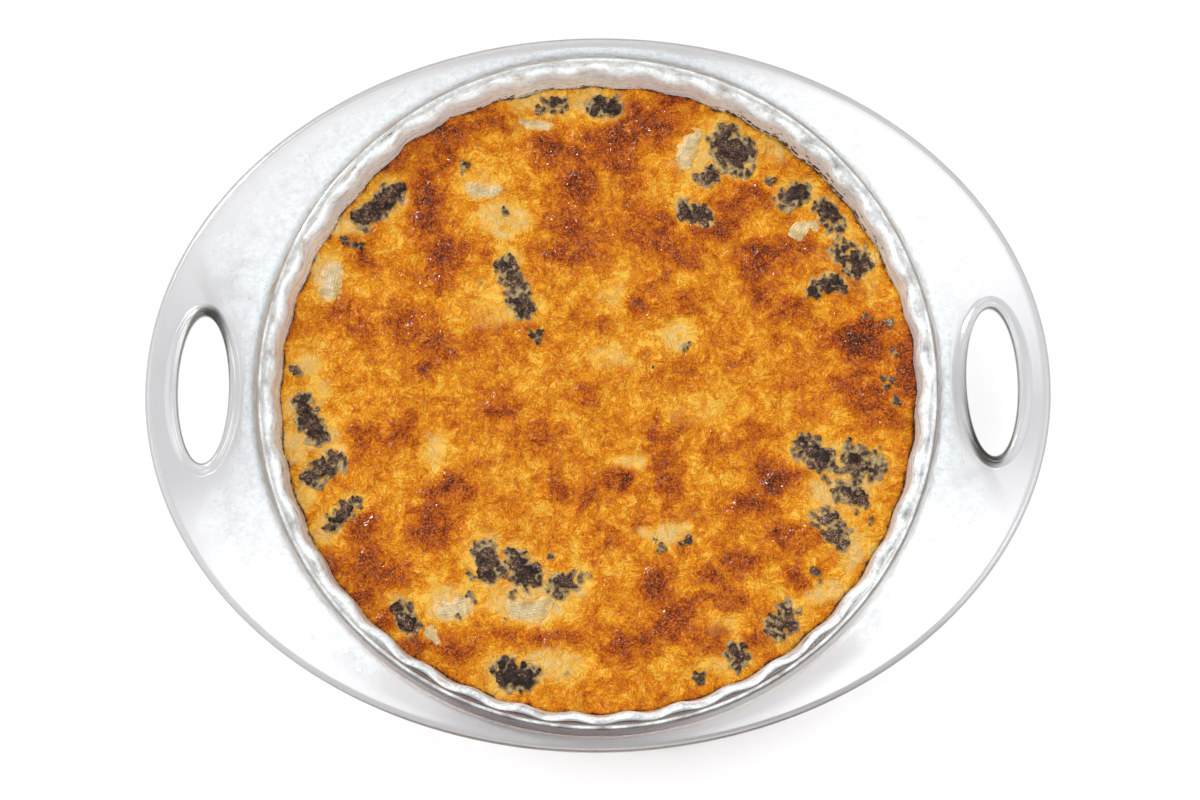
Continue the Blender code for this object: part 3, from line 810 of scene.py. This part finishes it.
beef = {
    # Each clump: its path over the pie and its width
    "clumps": [
        ([(-80, 81), (-86, 75), (-92, 70)], 7.8), ([(-36, 50), (-32, 42), (-29, 34)], 7.4),
        ([(35, 73), (42, 70)], 6.2), ([(51.5, 100.5), (57, 94)], 13.4), ([(42.5, 85.5), (46, 87.5)], 5),
        ([(74, 76.5), (81, 80)], 7), ([(90, 73), (94, 67)], 7), ([(96.5, 55.5), (102.5, 50)], 10.4),
        ([(86, 41), (91, 44), (95.5, 41.5)], 4.7), ([(80, -23), (86, -27)], 9),
        ([(98, -27), (106, -31)], 9), ([(94, -39), (101, -42)], 6), ([(87, -51), (93, -57)], 9.6),
        ([(72, -86.5), (68, -92)], 8.4), ([(52, -102)], 8.9), ([(-115, -3), (-113, -9), (-109, -15)], 8.2),
        ([(-103, -26), (-110, -31)], 9.4), ([(-95, -43), (-103, -50)], 5.4), ([(-75, -83), (-73, -90)], 6),
        ([(-44, -62), (-42, -69)], 8), ([(-32, -66), (-26, -72)], 8.6), ([(-16, -75), (-10, -73)], 7.6),
        ([(-37, -106), (-34, -111), (-28, -109)], 8), ([(-21, 115.5), (-13, 116.4)], 5.4),
        ([(1, 116), (7, 115)], 7.4),
    ],
    # Loose crumbs: x, y and size
    "crumbs": [
        (-99, 61, 4.2), (-94, 59, 4.4), (-36, 73, 4.2), (-24, 23, 6), (106, 29, 4), (114, 26, 4.4),
        (116, 15, 4.6), (113, 3, 5), (116, -4, 4.6), (83, -70, 4.6), (37.5, -110.5, 5), (25, -61, 4.4),
        (33, -58, 4.2), (-117, 9, 5.2), (35, 18, 3.4), (69, 84, 4.4), (-52, 91, 4.4), (104, -51, 3.8),
        (-46, 44, 2.6), (-39, 26, 2.4), (50, 89, 3), (44, 91, 2.6), (62, 100, 2.8), (105, 58, 3),
        (-46, 100, 2.4), (-53, 89, 2.8), (21, 9, 2.4), (32, -16, 2.2), (-48, -80, 2.6), (-54, -86, 3),
        (-13, -108, 2.6), (78, -21, 3), (95, -31, 3.4), (100, -47, 3), (85, -74, 3), (70, -95, 2.8),
        (-38, -69, 4.4), (-36, -62, 4), (-24, -67, 4), (-19, -63, 3.6), (-49, -71, 3.6), (-50, -78, 3.2),
        (-33, -78, 3.4), (-4, -71, 3), (84, -20, 4.4), (90, -24, 4.2), (92, -31, 4), (97, -21, 4.4),
        (103, -23, 4.2), (88, -35, 3.4), (100, -34, 4), (108, -24, 3.6), (-95, -50, 2.2), (-72, -94, 2.8),
        (109, -26, 3), (-36, -88, 2.4), (22, -58, 2.4), (36, -57, 2.4),
    ],
    "nuggetSize": (2.8, 6.0),
    "spacing": 2.15,
    "overhang": 0.4,
    "tries": 260,
    # Height of a lump over the cheese, and how deep it sinks in the middle and more at the edge of a clump
    "lift": 0.25,
    "sink": (0.02, 0.14),
    # How many small lumps make a small and a large crumb, and their size in it
    "crumbLumps": (4, 7),
    "crumbShare": (0.28, 0.5),
    "voxel": 0.36,
    # Share of the triangles kept, which keeps the piece under 200,000
    "kept": 0.63,
}


def nuggetAt(maker, x, y, sink, size):
    # One craggy lump of mince, squashed and turned its own way
    z = fillingHeight(x * mm, y * mm) + (beef["lift"] - size * sink) * mm
    place = (x * mm, y * mm, z)
    bpy.ops.mesh.primitive_ico_sphere_add(subdivisions=3, radius=size * mm / 2, location=place)
    lump = bpy.context.active_object
    own = Vector((maker.random() * 50, 0.0, 0.0))
    for vert in lump.data.vertices:
        rough = 0.6 * noise.noise(vert.co / (0.42 * size * mm) + own)
        rough += 0.35 * noise.noise(vert.co / (1.1 * mm) + own)
        rough += 0.2 * noise.noise(vert.co / (0.55 * mm) + own)
        vert.co *= 1.0 + rough
    lump.scale = (maker.uniform(0.9, 1.4), maker.uniform(0.8, 1.1), maker.uniform(0.5, 0.75))
    lump.rotation_euler = (maker.uniform(-0.4, 0.4), maker.uniform(-0.4, 0.4), maker.uniform(0, math.tau))
    return lump


def offPath(x, y, path):
    # Distance from a clump's path
    nearest = math.dist((x, y), path[0])
    for start, end in zip(path, path[1:]):
        along = Vector(end) - Vector(start)
        share = min(1.0, max(0.0, (Vector((x, y)) - Vector(start)).dot(along) / along.length_squared))
        nearest = min(nearest, (Vector((x, y)) - Vector(start) - along * share).length)
    return nearest


def buildBeef():
    maker = random.Random(41)
    deselectAll()
    lumps = []
    smallest, largest = beef["nuggetSize"]
    sink, sinkMore = beef["sink"]
    few, many = beef["crumbLumps"]
    for path, width in beef["clumps"]:
        placed = []
        reach = width / 2 + beef["overhang"]
        lowX, highX = min(x for x, y in path) - reach, max(x for x, y in path) + reach
        lowY, highY = min(y for x, y in path) - reach, max(y for x, y in path) + reach
        for attempt in range(beef["tries"]):
            x, y = maker.uniform(lowX, highX), maker.uniform(lowY, highY)
            out = offPath(x, y, path)
            if out < reach and all(math.dist((x, y), other) > beef["spacing"] for other in placed):
                placed.append((x, y))
                size = smallest + (largest - smallest) * maker.random() ** 1.6
                size *= 1.08 - 0.4 * out / reach
                lumps.append(nuggetAt(maker, x, y, sink + sinkMore * out / reach, size))
    for x, y, size in beef["crumbs"]:
        for i in range(many if size > 3 else few):
            shift = size * 0.42
            lumps.append(nuggetAt(maker, x + maker.uniform(-shift, shift), y + maker.uniform(-shift, shift),
                                  0.0, size * maker.uniform(*beef["crumbShare"])))
    centres = [(tuple(lump.location), lump.dimensions.x / 2) for lump in lumps]
    mince = joinPieces(lumps, "brownedBeef")
    bpy.ops.object.transform_apply(location=True, rotation=True, scale=True)
    skin = mince.modifiers.new("skin", "REMESH")
    skin.mode = "VOXEL"
    skin.voxel_size = beef["voxel"] * mm
    thinner = mince.modifiers.new("thinner", "DECIMATE")
    thinner.ratio = beef["kept"]
    applyAll(mince)
    # How deep each point lies between the lumps, for painted shade in the hollows
    finder = kdtree.KDTree(len(centres))
    for i, (centre, radius) in enumerate(centres):
        finder.insert(centre, i)
    finder.balance()
    depths = []
    for vert in mince.data.vertices:
        centre, i, away = finder.find(vert.co)
        depths.append(away / centres[i][1])
    hollow = mince.data.attributes.new("hollow", "FLOAT", "POINT")
    hollow.data.foreach_set("value", depths)
    above = mince.data.attributes.new("above", "FLOAT", "POINT")
    above.data.foreach_set("value", [(vert.co.z - fillingHeight(vert.co.x, vert.co.y)) / mm
                                     for vert in mince.data.vertices])
    bpy.ops.object.shade_smooth()
    return mince


def friedMince():
    board = Finish("friedMince", Specular_IOR_Level=0.3)
    patchy = board.speckle(4.0 * mm, detail=4.0, roughness=0.6) - 0.5
    wide = board.speckle(60 * mm, detail=1.0) - 0.5
    grain = board.speckle(0.6 * mm, detail=3.0, roughness=0.6) - 0.5
    # Painted light: lighter tops on the lumps and painted shade in the hollows between them
    paintedLitTops = 1.0 - board.attribute("hollow").step(0.7, 1.2)
    meat = board.ramp(paintedLitTops * 0.34 + patchy * 2.1 + wide * 0.6 + grain * 2.2, [
        (0.06, colour(24, 13, 9)), (0.32, colour(56, 35, 26)), (0.54, colour(90, 62, 48)),
        (0.76, colour(136, 106, 84)), (0.95, colour(190, 166, 130)),
    ])
    # Custard laps over the edges of the lumps
    lapped = 1.0 - (board.attribute("above") + patchy * 2.4 + grain * 1.2).step(0.15, 0.85)
    meat = board.mix(lapped * 0.75, meat, board.ramp(grain + 0.5, [
        (0.35, colour(176, 142, 84)), (0.65, colour(228, 208, 160)),
    ]))
    return board.finish(
        Base_Color=meat,
        Roughness=(0.30 + grain * 0.4).clamped(),
        Normal=board.bumpy(grain, 0.5 * mm),
    )


# Soft onion

onion = {
    # Each slice: its two ends and its width
    "slices": [
        ((-103, 51), (-105, 39), 10), ((39.5, 104), (34.5, 91.5), 7.6), ((84, 66.5), (77.5, 60), 8.6),
        ((-61, -84), (-51, -82), 9), ((-33, -84), (-21, -83), 9.5), ((-65, -90), (-62.5, -97), 6.2),
        ((-50, 82), (-39, 81), 6.8), ((-29, 109.2), (-18, 107.6), 5.2),
    ],
    "steps": (30, 48),
    "ribs": 9.0,
    "ribHeight": 0.05,
    "arch": 0.95,
    "wave": 0.45,
    "sunk": 0.5,
    "thickness": 1.1,
}


def buildSlice(number, start, end, width):
    # A curved strip with ribs along it, its edges sunk in the cheese
    length = math.dist(start, end) + width * 0.7
    middle = ((start[0] + end[0]) / 2, (start[1] + end[1]) / 2)
    turn = math.atan2(end[1] - start[1], end[0] - start[0])
    stepsX, stepsY = onion["steps"]
    bpy.ops.mesh.primitive_grid_add(x_subdivisions=stepsX, y_subdivisions=stepsY, size=2.0,
                                    location=(0.0, 0.0, 0.0))
    strip = bpy.context.active_object
    edit()
    mesh = bmesh.from_edit_mesh(strip.data)
    mesh.verts.layers.float.new("line")
    mesh.verts.layers.float.new("border")
    lineLayer, borderLayer = mesh.verts.layers.float["line"], mesh.verts.layers.float["border"]
    for vert in mesh.verts:
        u, v = vert.co.x, vert.co.y
        # Rounded ends, a bow along the length and an uneven outline
        taper = math.sqrt(max(0.0, 1.0 - abs(u) ** 5))
        taper *= 1.0 + 0.3 * noise.noise(Vector((u * 2.0, number, v)))
        taper *= 1.0 + 0.22 * noise.noise(Vector((u * 6.0, number + 0.5, v * 0.5)))
        along = u * length / 2
        across = v * width / 2 * taper + 0.09 * length * (u * u - 0.4)
        x = middle[0] + along * math.cos(turn) - across * math.sin(turn)
        y = middle[1] + along * math.sin(turn) + across * math.cos(turn)
        rib = math.cos(v * math.pi * onion["ribs"]) * onion["ribHeight"] * (1.0 - v ** 4)
        arch = onion["arch"] * (1.0 - v * v) * (1.0 - 0.6 * u * u)
        wave = onion["wave"] * noise.noise(Vector((x / 3.0, y / 3.0, number)))
        vert[lineLayer] = 0.5 - 0.5 * math.cos(v * math.pi * onion["ribs"])
        vert[borderLayer] = max(abs(v), abs(u) ** 2)
        lift = arch + rib + wave - onion["sunk"]
        vert.co = Vector((x * mm, y * mm, fillingHeight(x * mm, y * mm) + lift * mm))
    bmesh.update_edit_mesh(strip.data)
    leaveEdit()
    wall = strip.modifiers.new("wall", "SOLIDIFY")
    wall.thickness = onion["thickness"] * mm
    wall.offset = -1.0
    applyAll(strip)
    return strip


def buildOnion():
    deselectAll()
    slices = [buildSlice(i, *details) for i, details in enumerate(onion["slices"])]
    soft = joinPieces(slices, "softOnion")
    edit()
    bpy.ops.mesh.select_all(action="SELECT")
    bpy.ops.mesh.normals_make_consistent(inside=False)
    leaveEdit()
    bpy.ops.object.shade_smooth()
    return soft


def bakedOnion():
    board = Finish("bakedOnion", Subsurface_Weight=0.35, Subsurface_Radius=(1.0, 0.8, 0.4),
                  Subsurface_Scale=2.0 * mm, Specular_IOR_Level=0.55)
    patchy = board.speckle(4 * mm, detail=4.0)
    fine = board.speckle(0.8 * mm, detail=3.0)
    flesh = board.ramp(patchy * 1.4 - 0.2 + (fine - 0.5) * 0.6 - board.attribute("line") * 0.12, [
        (0.10, colour(176, 134, 66)), (0.32, colour(188, 160, 104)), (0.52, colour(204, 186, 144)),
        (0.74, colour(230, 220, 190)),
    ])
    # Custard laps over the edges of the slices, and speckles them
    lapped = (board.attribute("border") + (patchy - 0.5) * 2.6 + (fine - 0.5) * 1.4).step(0.35, 1.0)
    flesh = board.mix(lapped * 0.9, flesh, board.ramp(fine, [
        (0.35, colour(216, 152, 44)), (0.65, colour(238, 192, 112)),
    ]))
    return board.finish(
        Base_Color=flesh,
        Roughness=(0.26 + (fine - 0.5) * 0.2).clamped(),
        Normal=board.bumpy(fine, 0.3 * mm, 0.35),
    )


# Residue baked on the glass

residue = {
    # Each run: first and last angle, lowest and highest z, how many, size in mm
    "wallRuns": [
        (22, 67, 28.5, 31.5, 46, (0.7, 2.2)), (22, 67, 31.5, 38.0, 26, (0.5, 1.3)),
        (92, 118, 28.0, 31.0, 16, (0.6, 1.5)), (136, 172, 28.0, 30.0, 12, (0.4, 1.0)),
        (180, 262, 27.5, 30.5, 34, (0.5, 1.6)), (262, 345, 27.5, 29.5, 18, (0.5, 1.2)),
    ],
    "burntStrip": (349, 357, 27.2, 29.0, 26, (1.2, 2.4)),
    "ledgeCrumbs": (128, 134, 45.0, 0.7, 9),
}


def fleckAt(maker, angle, radius, z, size, tall):
    # A flat irregular fleck lying against the wall
    bpy.ops.mesh.primitive_ico_sphere_add(subdivisions=2, radius=size * mm / 2, location=(0.0, 0.0, 0.0))
    fleck = bpy.context.active_object
    for vert in fleck.data.vertices:
        own = Vector((maker.random() * 9, 0.0, 0.0))
        vert.co *= 1.0 + 0.5 * noise.noise(vert.co / (0.5 * size * mm) + own)
    fleck.scale = (0.35, maker.uniform(0.8, 1.7), tall)
    fleck.rotation_euler = (maker.uniform(-0.7, 0.7), 0.0, angle)
    fleck.location = (radius * math.cos(angle), radius * math.sin(angle), z)
    return fleck


def buildResidue():
    maker = random.Random(17)
    deselectAll()
    flecks = []
    for first, last, low, high, count, (small, large) in [*residue["wallRuns"], residue["burntStrip"]]:
        for i in range(count):
            angle = math.radians(maker.uniform(first, last))
            z = maker.uniform(low, high) * mm
            size = maker.uniform(small, large)
            flecks.append(fleckAt(maker, angle, wallRadius(angle, z) - 0.08 * size * mm, z, size,
                                  maker.uniform(0.6, 1.1)))
    first, last, z, size, count = residue["ledgeCrumbs"]
    for i in range(count):
        angle = math.radians(maker.uniform(first, last))
        flecks.append(fleckAt(maker, angle, 127.5 * mm, z * mm, size * maker.uniform(0.8, 1.6), 0.4))
    crumbs = joinPieces(flecks, "bakedResidue")
    bpy.ops.object.transform_apply(location=True, rotation=True, scale=True)
    bpy.ops.object.shade_smooth()
    return crumbs


def burntFlecks():
    board = Finish("burntFlecks", Specular_IOR_Level=0.5)
    patchy = board.speckle(4 * mm, detail=4.0)
    grain = board.speckle(0.6 * mm, detail=2.0)
    char = board.ramp(patchy + (grain - 0.5) * 0.5, [
        (0.35, colour(34, 18, 12)), (0.55, colour(78, 42, 22)), (0.75, colour(150, 98, 44)),
    ])
    return board.finish(Base_Color=char, Roughness=(0.35 + (grain - 0.5) * 0.3).clamped(),
                        Normal=board.bumpy(grain, 0.3 * mm))


# Camera, light and floor

view = {
    "distance": 760.0, "tilt": 9.06, "turn": 2.3, "roll": -0.48, "lens": 60.0,
    "flangePixel": (597.3, 385.2), "imageSize": (1200, 800),
}


def addCamera():
    tilt = math.radians(view["tilt"])
    turn = math.radians(view["turn"])
    roll = math.radians(view["roll"])
    target = Vector((0.0, 0.0, dish["flangeTop"] * mm))
    back = Vector((math.sin(turn) * math.sin(tilt), -math.cos(turn) * math.sin(tilt), math.cos(tilt)))
    up = Vector((0.0, 1.0, 0.0))
    up = (up - back * up.dot(back)).normalized()
    right = up.cross(back)
    right, up = (right * math.cos(roll) + up * math.sin(roll), up * math.cos(roll) - right * math.sin(roll))
    place = target + back * view["distance"] * mm
    # The camera aims at the point that the middle of the photograph shows
    millimetresPerPixel = view["distance"] * 36.0 / (view["imageSize"][0] * view["lens"])
    offX = (view["imageSize"][0] / 2 - view["flangePixel"][0]) * millimetresPerPixel * mm
    offY = (view["imageSize"][1] / 2 - view["flangePixel"][1]) * millimetresPerPixel * mm
    aim = target + right * offX - up * offY
    back = (place - aim).normalized()
    up = (up - back * up.dot(back)).normalized()
    right = up.cross(back)
    camera = bpy.data.objects.new("photoCamera", bpy.data.cameras.new("photoCamera"))
    bpy.context.scene.collection.objects.link(camera)
    camera.data.lens = view["lens"]
    camera.data.sensor_width = 36.0
    camera.data.clip_start = 0.01
    camera.location = place
    camera.matrix_world = Matrix((
        (right.x, up.x, back.x, place.x),
        (right.y, up.y, back.y, place.y),
        (right.z, up.z, back.z, place.z),
        (0.0, 0.0, 0.0, 1.0),
    ))
    bpy.context.scene.camera = camera


studio = {
    "backdrop": 0.75,
    "horizon": 0.20,
    "zenith": 0.28,
    # Each soft light: direction, inner and outer half angle in degrees, radiance
    "lights": [
        ((-0.16, 0.29, 0.95), 0.0, 8.0, 2.0), ((0.17, 0.27, 0.95), 0.0, 8.5, 4.0),
        ((-0.16, 0.02, 0.98), 0.0, 6.5, 4.0), ((0.15, 0.0, 0.98), 0.0, 9.0, 5.5),
        ((-0.52, 0.52, 0.68), 6.0, 15.0, 7.0), ((-0.40, 0.42, 0.80), 1.5, 4.5, 60.0),
        ((-0.75, 0.05, 0.65), 8.0, 22.0, 1.6), ((0.75, -0.1, 0.65), 8.0, 22.0, 1.6),
        ((0.05, -0.72, 0.7), 8.0, 24.0, 2.8), ((-0.1, 0.8, 0.6), 8.0, 20.0, 1.6),
    ],
    "floorTone": (0.92, 0.92, 0.925),
}


def addWorld():
    # A pale backdrop low down, dimmer above so that edges of glass are drawn, and soft lights in it
    world = bpy.data.worlds.new("studio")
    bpy.context.scene.world = world
    board = Board(world)
    place = board.node("ShaderNodeTexCoord", output="Generated")
    height = board.node("ShaderNodeSeparateXYZ", {}, {0: place}, "Z")
    radiance = studio["horizon"] + height.step(0.0, 0.8) * (studio["zenith"] - studio["horizon"])
    radiance = radiance + (1.0 - height.step(0.12, 0.36)) * (studio["backdrop"] - studio["horizon"])
    for direction, inner, outer, strength in studio["lights"]:
        toward = Vector(direction).normalized()
        facing = board.node("ShaderNodeVectorMath", {"operation": "DOT_PRODUCT"},
                            {0: place, 1: tuple(toward)}, "Value")
        low, high = math.cos(math.radians(outer)), math.cos(math.radians(inner))
        radiance = radiance + facing.step(low, high) * strength
    background = board.tree.nodes["Background"]
    background.inputs["Color"].default_value = (1.0, 0.995, 0.985, 1.0)
    board.feed(background.inputs["Strength"], radiance)


def addStage():
    deselectAll()
    bpy.ops.mesh.primitive_plane_add(size=60.0, location=(0.0, 0.0, -0.0002))
    table = bpy.context.active_object
    table.name = "table"
    bpy.ops.object.transform_apply(location=True, rotation=True, scale=True)
    board = Finish("whitePaper", Roughness=0.6, Specular_IOR_Level=0.2)
    tone = studio["floorTone"]
    table.data.materials.append(board.finish(Base_Color=board.mix(
        board.speckle(0.4), (*tone, 1.0), tuple(value * 0.98 for value in tone) + (1.0,))))
    bpy.context.scene.view_settings.view_transform = "Standard"


addCamera()
addWorld()
addStage()

settle(buildDish(), clearGlass(), "clear_glass", "glass_dish")
settle(buildFilling(), bakedCheese(), "baked_cheese", "baked_filling")
settle(buildBeef(), friedMince(), "browned_beef", *numbered("beef", beef["clumps"]))
settle(buildOnion(), bakedOnion(), "soft_onion", *numbered("onion", onion["slices"]))
settle(buildResidue(), burntFlecks(), "baked_cheese")
